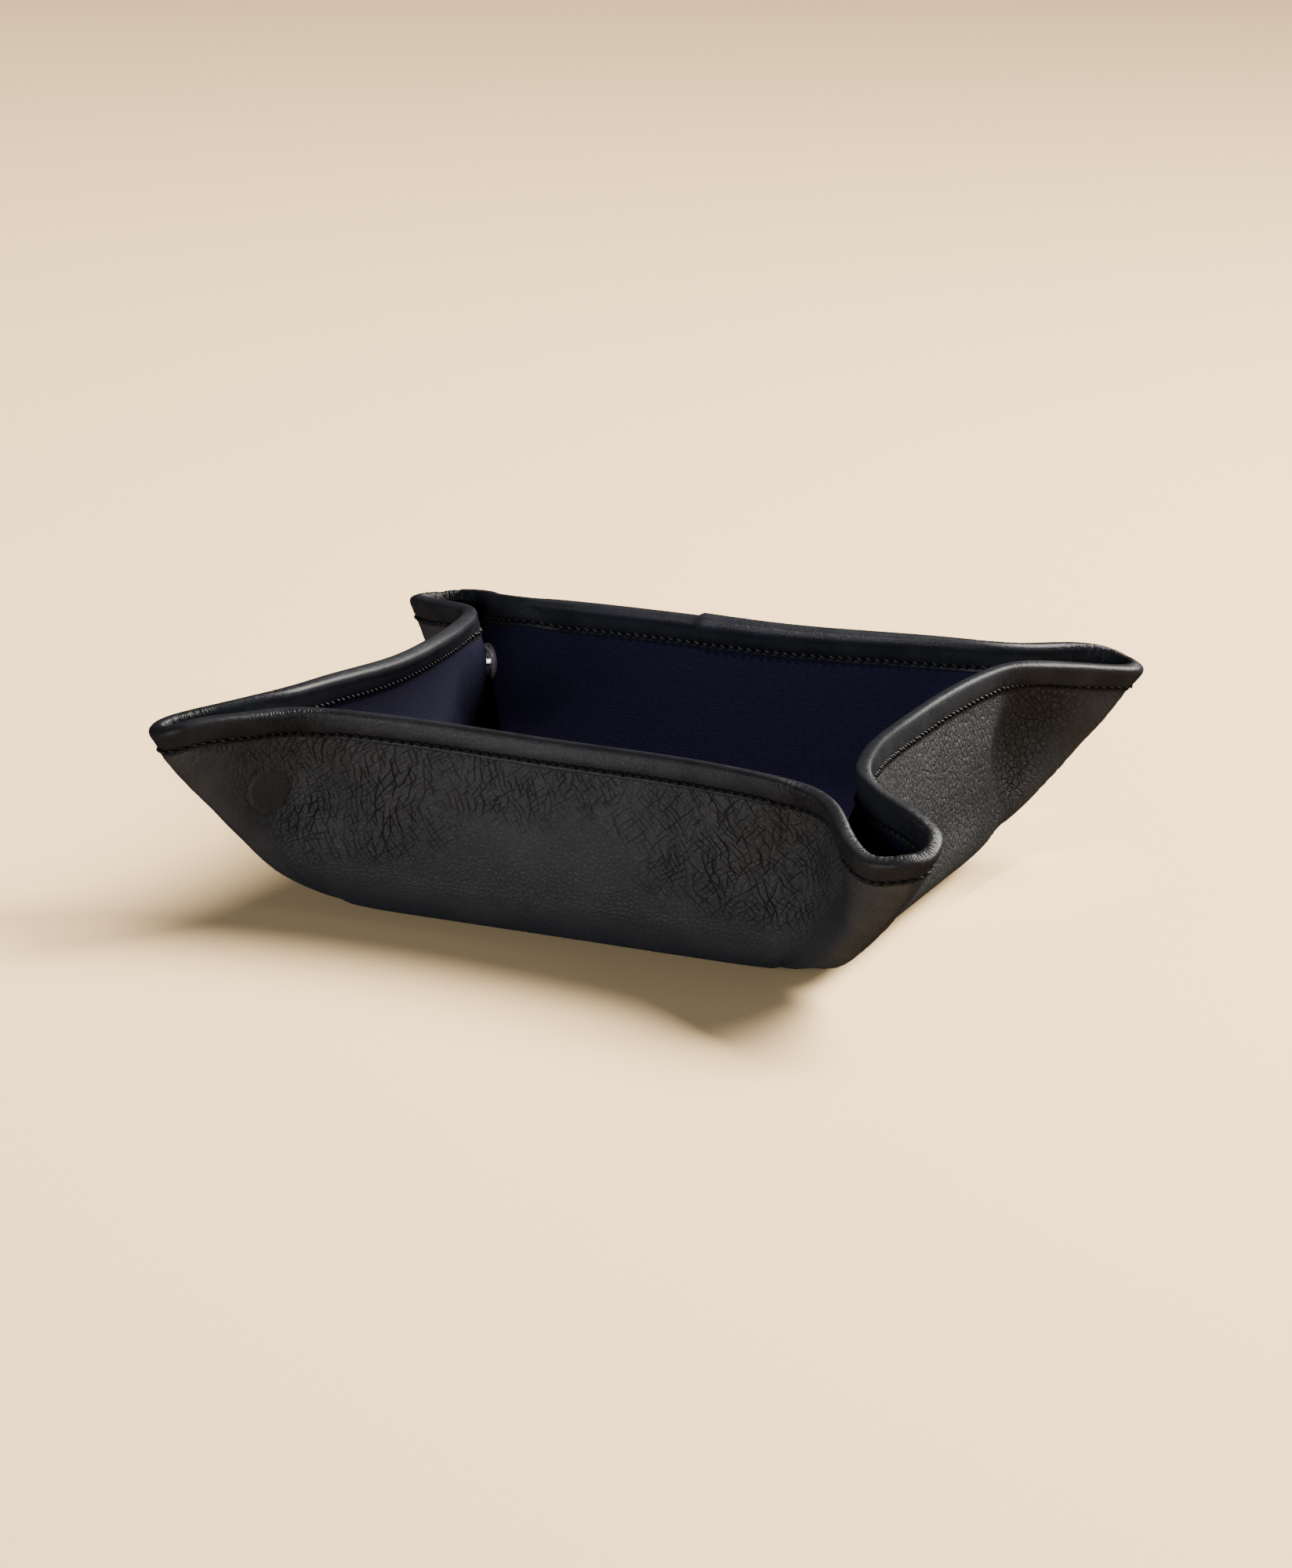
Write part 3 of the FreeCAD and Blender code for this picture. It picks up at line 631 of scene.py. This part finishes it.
def patch(name, cols, rows, side, under=None, ridge=0):
    """A piece of the leather or the lining: those columns and rows of the ring, with margins under its neighbours.

    A ridge of 1 or -1 adds a column after the last or before the first one, just under the leather."""
    pts, nor = (OUTER, OUTER_N) if side == "leather" else (LINING, LINING_N)
    p, n = pts[cols][:, rows], nor[cols][:, rows]
    if under is not None:
        p = p - n * (UNDER * under)[..., None]
    if ridge:
        i = cols[-1] if ridge > 0 else cols[0]
        drop = np.linalg.norm(RING[i] - RING[i, -1], axis=1)
        share = (0.06 + 0.94 * smooth((drop - 5.0) / 9.0))[:, None]
        web = (LINING[i] + (OUTER[i] - 0.45 * OUTER_N[i] - LINING[i]) * share)[rows][None]
        p = np.concatenate([p, web] if ridge > 0 else [web, p], 0)
        n = np.concatenate([n, n[-8:-7]] if ridge > 0 else [n[7:8], n], 0)
        cols = np.r_[cols, i] if ridge > 0 else np.r_[i, cols]
    f = FLAT[cols][:, rows]
    faces = grid_faces(len(cols), len(rows), flip=side != "leather")
    at, local = (), None
    if side == "leather":
        at = (("crease", CREASE[cols][:, rows]), ("disc", DISC[cols][:, rows]), ("calm", CALM[cols][:, rows]))
        local = LOCAL[cols][:, rows].copy()
        if cols[-1] % (2 * NCOL) == NCOL:        # the last column of a right half belongs to the next wall's numbering
            local[-1] = RIGHT_LOCAL[cols[-1], rows]
        local = local.reshape(-1, 2)
    return make(name, p.reshape(-1, 3), faces, f.reshape(-1, 2), "flat",
                LEATHER if side == "leather" else CANVAS,
                n.reshape(-1, 3), at, local)


def span(a, b):
    return np.arange(a, b + 1) % NTOT


# opened, the tray lies flat; here each piece of a wall or ear half is hung on its part with a mesh of its own
LOW, SIDE = 9, 60                        # rows and columns of the hidden margins


def settle_wall(o, k):
    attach(o, WALLS[k])
    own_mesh(o)


def settle_ear(o, k, side):
    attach(o, EARS[k][0 if side > 0 else 1])
    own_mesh(o)


def ear_columns(k, side):
    mid = 2 * NCOL * k
    return span(mid + HINGE, mid + NCOL) if side > 0 else span(mid - NCOL, mid - HINGE)


def wall_columns(k):
    """Columns of a wall with its margins, and which of them are margin."""
    mid = 2 * NCOL * k
    cols = span(mid - HINGE - SIDE, mid + HINGE + SIDE)
    return cols, (np.abs(np.arange(-HINGE - SIDE, HINGE + SIDE + 1)) > HINGE).astype(float)


ROWS = {"leather": np.arange(MB - LOW + 4, MB + MU + 1), "lining": np.arange(MB - LOW, MB + MU + 1)}
for k in range(4):
    mid = 2 * NCOL * k
    w = WALLS[k]
    for word, rows in ROWS.items():
        low_rows = (rows < MB).astype(float)[None, :]
        cols, margin = wall_columns(k)
        o = patch(f"{w}_{word}_cover", cols, rows, word, np.maximum(margin[:, None], low_rows))
        settle_wall(o, k)
        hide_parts(f"{w}_{word}")
        for side, ear in zip((1, -1), EARS[k]):
            cols = ear_columns(k, side)
            o = patch(f"{ear}_{word}_cover", cols, rows, word, np.repeat(low_rows, len(cols), 0),
                      side if word == "lining" else 0)
            settle_ear(o, k, side)
            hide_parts(f"{ear}_{word}")
        # the bend at the edge of the base, from corner to corner
        o = patch(f"base_{word}_edge_{k}", span(mid - NCOL, mid + NCOL), np.arange(MB + 1), word)
        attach(o, "base")
        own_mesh(o)

# floor of the tray and underside
for side, word, z in (("leather", "leather", SHAPE["z0"] - OUT), ("lining", "lining", SHAPE["z0"] + INN)):
    edge, flat = (OUTER if side == "leather" else LINING)[:, 0, :2], FLAT[:, 0]
    scales = np.array([1.0, 0.97, 0.9, 0.8, 0.65, 0.5, 0.35, 0.2, 0.08])
    pts = np.concatenate([edge[:, None] * scales[None, :, None]], 1)
    blend = smooth((1 - scales) / 0.35)[None, :, None]
    flats = flat[:, None] * scales[None, :, None] * (1 - blend) + pts * blend
    verts = np.concatenate([pts, np.full(pts.shape[:2] + (1,), z)], 2).reshape(-1, 3)
    faces = [tuple(f) for f in grid_faces(NTOT, len(scales), flip=side == "leather", closed=True)]
    last = len(verts)
    verts = np.vstack([verts, [0, 0, z]])
    ring = [i * len(scales) + len(scales) - 1 for i in range(NTOT)]
    for i in range(NTOT):
        a, b = ring[i], ring[(i + 1) % NTOT]
        faces.append((b, a, last) if side == "leather" else (a, b, last))
    uv = np.vstack([flats.reshape(-1, 2), [0, 0]])
    nz = np.tile([0, 0, -1.0 if side == "leather" else 1.0], (len(verts), 1))
    zero = np.zeros(len(verts))
    at = (("crease", zero), ("disc", zero), ("calm", zero + 0.5)) if side == "leather" else ()
    o = make(f"base_{word}_cover", verts, faces, uv, "flat", LEATHER if side == "leather" else CANVAS,
             nz, at, uv if side == "leather" else None)
    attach(o, "base")
    if side == "leather":
        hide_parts("base_leather")
    else:
        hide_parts("base_lining", "base_board")

# ---------------------------------------------------------------- binding and stitching
RIM = RING[:, -1]
RIM_T = unit(np.roll(RIM, -1, 0) - np.roll(RIM, 1, 0))
RIM_U = unit(RING[:, -1] - RING[:, -4])
RIM_U = unit(RIM_U - (RIM_U * RIM_T).sum(1, keepdims=True) * RIM_T)
RIM_N = unit(np.cross(RIM_T, RIM_U))
RIM_N = RIM_N if RIM_N[0, 1] < 0 else -RIM_N
DOWN = np.concatenate([np.zeros((NTOT, 1)),
                       np.cumsum(np.linalg.norm(np.diff(RING[:, ::-1], axis=1), axis=2), 1)], 1)
RIM_LEN = np.linalg.norm(np.roll(RIM, -1, 0) - RIM, axis=1)
RIM_S = np.r_[0, np.cumsum(RIM_LEN)][:-1]
RIM_TOTAL = RIM_LEN.sum()


def below(d):
    """Middle surface and normal that far below the rim, for every column."""
    p, n = np.zeros((NTOT, 3)), np.zeros((NTOT, 3))
    for i in range(NTOT):
        j = np.searchsorted(DOWN[i], d)
        j = min(max(j, 1), DOWN.shape[1] - 1)
        t = (d - DOWN[i, j - 1]) / (DOWN[i, j] - DOWN[i, j - 1])
        a, b = RING[i, -j], RING[i, -j - 1]
        p[i] = a + (b - a) * t
        n[i] = NORMAL[i, -j] + (NORMAL[i, -j - 1] - NORMAL[i, -j]) * t
    return p, unit(n)


STITCH_DEPTH = 4.5
PROFILE = [(5.9, 0.95), (5.86, 1.20), (5.7, 1.32), (5.4, 1.38), (5.0, 1.38), (STITCH_DEPTH, 1.26), (3.95, 1.58),
           (3.3, 1.86), (2.6, 2.05), (1.8, 2.18), (1.1, 2.27), (0.5, 2.33)]
# on the inside the strip reaches further down
INSIDE = [(d * 1.26, off) for d, off in PROFILE]
TOP_R = 2.36
# the strip's ends overlap on the back wall, a little left of its middle
lap_col = 4 * NCOL + int(np.argmin(np.abs(RING[4 * NCOL - 40:4 * NCOL + 40, -1, 0] + 12.0))) - 40
lap_run = (RIM_S - RIM_S[lap_col]) % RIM_TOTAL
lap_run = np.where(lap_run > RIM_TOTAL / 2, lap_run - RIM_TOTAL, lap_run)
LAP = np.where(lap_run <= 0, 0.85 * np.exp(-np.abs(lap_run) / 55.0), 0.0)

profile_pts, profile_uv, run = [], [], 0.0
strip = []
for d, off in PROFILE:
    p, n = below(d)
    lift = LAP * (off - 1.0) / 1.3
    strip.append(p + n * (off + np.minimum(lift, LAP))[:, None])
for a in np.linspace(0, math.pi, 13):
    r = TOP_R + LAP
    c, s = math.cos(a), math.sin(a)
    # a little squared, as a strip folded over an edge
    m = (abs(c) ** 3.0 + abs(s) ** 3.0) ** (-1 / 3.0)
    strip.append(RIM + (RIM_N * c * m * 1.0 + RIM_U * s * m * 0.9) * r[:, None])
for d, off in INSIDE[::-1]:
    p, n = below(d)
    lift = LAP * (off - 1.0) / 1.3
    strip.append(p - n * (off - 0.15 + np.minimum(lift, LAP))[:, None])
STRIP = np.stack(strip, 1)
across_run = np.concatenate([np.zeros((NTOT, 1)), np.cumsum(np.linalg.norm(np.diff(STRIP, axis=1), axis=2), 1)], 1)
STRIP_UV = np.stack([np.broadcast_to(RIM_S[:, None] - RIM_TOTAL / 2, across_run.shape), across_run], -1)
# distance from the nearer line of stitches, across the strip
hole = [q for q, (d, off) in enumerate(PROFILE) if d == STITCH_DEPTH][0]
SEAM = np.minimum(np.abs(across_run - across_run[:, hole:hole + 1]),
                  np.abs(across_run - across_run[:, STRIP.shape[1] - 1 - hole:STRIP.shape[1] - hole]))
side_of = np.linspace(1, -1, STRIP.shape[1])[None, :]
inner_throat = np.exp(-((THROAT - 2) / 10.0) ** 2)[:, None] * smooth((side_of + 0.2) / 0.5)
inner_tip = smooth((THROAT - 20) / 14.0)[:, None] * smooth((0.15 - side_of) / 0.4)
TIGHT = np.clip(inner_throat * 0.8 + inner_tip, 0, 1)
# pleats where the strip is squeezed together
pleat_noise = Noise(57)
sp, ap = STRIP_UV[..., 0], STRIP_UV[..., 1]
pleat = np.maximum(0, 1 - np.abs(pleat_noise(sp / 1.5 + 0.4 * wide_noise(sp / 5, ap / 5), ap / 7.0)) * 3.2)
STRIP_N = unit(np.cross(np.roll(STRIP, -1, 0) - np.roll(STRIP, 1, 0), np.gradient(STRIP, axis=1)))
if STRIP_N[0, 3, 1] > 0:
    STRIP_N = -STRIP_N
edge_fade = np.minimum(np.arange(STRIP.shape[1]), np.arange(STRIP.shape[1])[::-1])
edge_fade = smooth((edge_fade - 1) / 3.0)[None, :]
STRIP = STRIP - STRIP_N * (0.30 * pleat * TIGHT * edge_fade)[..., None]
STRIP_N = unit(np.cross(np.roll(STRIP, -1, 0) - np.roll(STRIP, 1, 0), np.gradient(STRIP, axis=1)))
if STRIP_N[0, 3, 1] > 0:
    STRIP_N = -STRIP_N


def strip_piece(name, cols, margin=None):
    p = STRIP[cols]
    if margin is not None:
        p = p - STRIP_N[cols] * (UNDER * margin)[:, None, None]
    uv = STRIP_UV[cols].copy()
    wrap = np.where(cols[:, None] < cols[0], RIM_TOTAL, 0)
    uv[..., 0] += wrap
    faces = grid_faces(len(cols), p.shape[1])
    return make(name, p.reshape(-1, 3), faces, uv.reshape(-1, 2), "strip", BINDING,
                STRIP_N[cols].reshape(-1, 3), (("tight", TIGHT[cols]), ("seam", SEAM[cols])))


def at_run(table, s):
    """Row of table at rim distance s."""
    s = s % RIM_TOTAL
    i = int(np.searchsorted(RIM_S, s, side="right")) - 1
    t = (s - RIM_S[i]) / RIM_LEN[i]
    return table[i] + (table[(i + 1) % NTOT] - table[i]) * t


PITCH = RIM_TOTAL / round(RIM_TOTAL / 2.68)
stitch_p, stitch_n = below(STITCH_DEPTH)
inside_p, inside_n = below(INSIDE[hole][0])
LINES = ((stitch_p, stitch_n, 1.60), (inside_p, -inside_n, 1.46))
stitch_rng = np.random.default_rng(5)
STITCHES = []
for base_p, base_n, off in LINES:
    for q in range(int(round(RIM_TOTAL / PITCH))):
        s0 = (q + 0.5) * PITCH + stitch_rng.normal(0, 0.06)
        STITCHES.append((s0, base_p, base_n, off, stitch_rng.normal(0, 0.07)))


def stitch_mesh(s0, base_p, base_n, off, wobble):
    """One stitch: a bulging thread that dips into the leather at both ends."""
    rows, sides, rad = 7, 6, 0.50
    verts = []
    length = PITCH * 0.86
    for r in range(rows):
        t = r / (rows - 1.0)
        s = s0 + (t - 0.5) * length
        p, n = at_run(base_p, s), unit(at_run(base_n, s))
        tang = unit(at_run(base_p, s + 0.4) - at_run(base_p, s - 0.4))
        down = np.cross(tang, n)
        arch = math.sin(math.pi * t)
        lift = off - 0.46 + 0.50 * arch ** 0.7 + at_run(LAP, s) * 0.5
        slant = (t - 0.5) * 0.95 + wobble
        c = p + n * lift + down * slant
        rr = rad * (0.55 + 0.45 * arch ** 0.6)
        for q in range(sides):
            a = 2 * math.pi * q / sides
            verts.append(c + (n * math.cos(a) + down * math.sin(a)) * rr)
    faces = []
    for r in range(rows - 1):
        for q in range(sides):
            q2 = (q + 1) % sides
            faces.append((r * sides + q, (r + 1) * sides + q, (r + 1) * sides + q2, r * sides + q2))
    faces.append(tuple(range(sides)))
    faces.append(tuple(range(len(verts) - 1, len(verts) - 1 - sides, -1)))
    uv = [((r / (rows - 1.0)) * length + s0, q * 0.4) for r in range(rows) for q in range(sides)]
    return verts, faces, uv


def stitch_piece(name, cols):
    """The stitches whose middle lies on those columns, as one piece."""
    s_lo, s_hi = RIM_S[cols[0]], RIM_S[cols[-1]]
    width = (s_hi - s_lo) % RIM_TOTAL
    verts, faces, uv = [], [], []
    for st in STITCHES:
        if (st[0] - s_lo) % RIM_TOTAL < width:
            v, f, u = stitch_mesh(*st)
            faces += [tuple(i + len(verts) for i in q) for q in f]
            verts += v
            uv += u
    return make(name, verts, faces, uv, "strip", THREAD)


for k in range(4):
    mid = 2 * NCOL * k
    w = WALLS[k]
    o = strip_piece(f"{w}_binding_strip", *wall_columns(k))
    settle_wall(o, k)
    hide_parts(f"{w}_binding")
    settle_wall(stitch_piece(f"{w}_stitches", span(mid - HINGE, mid + HINGE)), k)
    for side, ear in zip((1, -1), EARS[k]):
        cols = ear_columns(k, side)
        o = strip_piece(f"{ear}_binding_strip", cols)
        settle_ear(o, k, side)
        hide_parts(f"{ear}_binding")
        settle_ear(stitch_piece(f"{ear}_stitches", cols), k, side)

# ---------------------------------------------------------------- press studs


def plate(name, k, side):
    """Backing ring of a press stud, between the leather and the lining."""
    a, b = corner_axes(k)
    mid = a * SNAP_REACH + np.array([0, 0, SNAP_HEIGHT])
    verts, faces, n = [], [], 40
    ring = [(1.48, 2.9), (5.35, 2.9), (5.5, 3.0), (5.5, 3.3), (5.35, 3.4), (1.48, 3.4)]
    for i in range(n):
        t = 2 * math.pi * i / n
        spoke = a * math.cos(t) + np.array([0, 0, 1.0]) * math.sin(t)
        verts += [mid + spoke * r + b * side * h for r, h in ring]
    m = len(ring)
    for i in range(n):
        for j in range(m):
            q = (i * m + j, ((i + 1) % n) * m + j, ((i + 1) % n) * m + (j + 1) % m, i * m + (j + 1) % m)
            faces.append(q if side < 0 else q[::-1])
    verts = np.array(verts)
    return make(name, verts, faces, np.c_[verts @ a, verts[:, 2]], "flat", NICKEL)


for k, corner in enumerate(("front_right", "back_right", "back_left", "front_left")):
    o = plate(f"{corner}_snap_socket_plate_ring", k, -1)
    settle_ear(o, k, 1)
    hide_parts(f"{corner}_snap_socket_plate")
    o = plate(f"{corner}_snap_stud_plate_ring", k, 1)
    settle_ear(o, (k + 1) % 4, -1)
    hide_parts(f"{corner}_snap_stud_plate")

for name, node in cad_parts.items():
    if "_snap_" in name:
        node.data.materials.clear()
        node.data.materials.append(NICKEL)

# ---------------------------------------------------------------- floor, light and camera


def floor_material():
    m, t, p = material("paper")
    g = Nodes(t)
    pos = g.add("ShaderNodeTexCoord").outputs["Object"]
    n = g.add("ShaderNodeTexNoise", Scale=3.0, Detail=2.0)
    g.put(n.inputs["Vector"], pos)
    sep = g.add("ShaderNodeSeparateXYZ")
    g.put(sep.inputs[0], pos)
    # the floor is painted darker towards the back: painted shade standing in for light that falls brighter near the
    # front
    near = g.colour(n.outputs["Fac"], (0.935, 0.664, 0.358), (0.950, 0.679, 0.370))
    far = g.colour(n.outputs["Fac"], (0.380, 0.268, 0.142), (0.395, 0.280, 0.150))
    g.put(p.inputs["Base Color"], g.colour(g.span(sep.outputs[1], -0.4, 2.4), near, far))
    p.inputs["Roughness"].default_value = 0.9
    p.inputs["Specular IOR Level"].default_value = 0.1
    return m


mesh = bpy.data.meshes.new("floor")
mesh.from_pydata([(-6, -6, -0.0002), (6, -6, -0.0002), (6, 6, -0.0002), (-6, 6, -0.0002)], [], [(0, 1, 2, 3)])
floor = bpy.data.objects.new("floor", mesh)
bpy.context.scene.collection.objects.link(floor)
mesh.materials.append(floor_material())
# kept out of mirror reflections, as black cards round the tray would do
floor.visible_glossy = False

world = bpy.data.worlds.new("studio")
bpy.context.scene.world = world
world.use_nodes = True
back = world.node_tree.nodes["Background"]
back.inputs["Color"].default_value = (0.88, 0.94, 1.0, 1)
back.inputs["Strength"].default_value = 0.042


def area(name, place, aim, size, power, colour=(1, 0.97, 0.93)):
    light = bpy.data.lights.new(name, "AREA")
    light.shape = "RECTANGLE"
    light.size, light.size_y = size
    light.energy = power
    light.color = colour
    o = bpy.data.objects.new(name, light)
    bpy.context.scene.collection.objects.link(o)
    o.location = place
    o.rotation_euler = (Vector(aim) - Vector(place)).to_track_quat("-Z", "Y").to_euler()
    return o


area("key_light", (1.24, 1.30, 1.82), (0.0, -0.1, 0.0), (1.9, 1.2), 390.0, (1.0, 0.95, 0.87))
area("front_fill", (-0.5, -2.4, 0.41), (0.0, 0.0, 0.03), (1.6, 0.5), 59.0, (0.90, 0.95, 1.0))
area("side_light", (1.62, -0.46, 0.78), (-0.08, 0.08, 0.035), (0.16, 0.95), 2.4, (0.94, 0.97, 1.0))

# a narrow soft beam from above the front lifts the lining inside a little
beam = bpy.data.lights.new("inside_light", "SPOT")
beam.energy, beam.color = 270.0, (1.0, 0.88, 0.96)
beam.spot_size, beam.spot_blend, beam.shadow_soft_size = math.radians(4.6), 1.0, 0.02
o = bpy.data.objects.new("inside_light", beam)
bpy.context.scene.collection.objects.link(o)
o.location = (-0.10, -1.05, 1.75)
o.rotation_euler = (Vector((0.0, 0.045, 0.03)) - o.location).to_track_quat("-Z", "Y").to_euler()
o.scale = (1.5, 1.0, 1.0)

AZ, EL, ROLL, DIST = 18.6, 15.5, 3.3, 1741.5
SHIFT_X, SHIFT_Y, FOCAL = 0.0, 128.5, 8000.0
az, el, roll = (math.radians(v) for v in (AZ, EL, ROLL))
c_back = Vector((math.sin(az) * math.cos(el), -math.cos(az) * math.cos(el), math.sin(el)))
c_right = Vector((math.cos(az), math.sin(az), 0))
c_up = c_back.cross(c_right)
c_right, c_up = (c_right * math.cos(roll) + c_up * math.sin(roll), c_up * math.cos(roll) - c_right * math.sin(roll))
place = c_back * DIST * MM
# the camera looks a little above the tray, as in the picture
tilt, pan = math.atan2(SHIFT_Y, FOCAL), math.atan2(SHIFT_X, FOCAL)
c_back, c_up = (c_back * math.cos(tilt) - c_up * math.sin(tilt), c_up * math.cos(tilt) + c_back * math.sin(tilt))
c_back, c_right = (c_back * math.cos(pan) + c_right * math.sin(pan), c_right * math.cos(pan) - c_back * math.sin(pan))
cam_data = bpy.data.cameras.new("camera")
cam_data.sensor_width = 36.0
cam_data.lens = FOCAL * 36.0 / 2000.0
cam_data.clip_start, cam_data.clip_end = 0.05, 50.0
cam = bpy.data.objects.new("camera", cam_data)
bpy.context.scene.collection.objects.link(cam)
cam.matrix_world = Matrix(((c_right.x, c_up.x, c_back.x, place.x), (c_right.y, c_up.y, c_back.y, place.y),
                           (c_right.z, c_up.z, c_back.z, place.z), (0, 0, 0, 1)))
bpy.context.scene.camera = cam

bpy.context.view_layer.update()
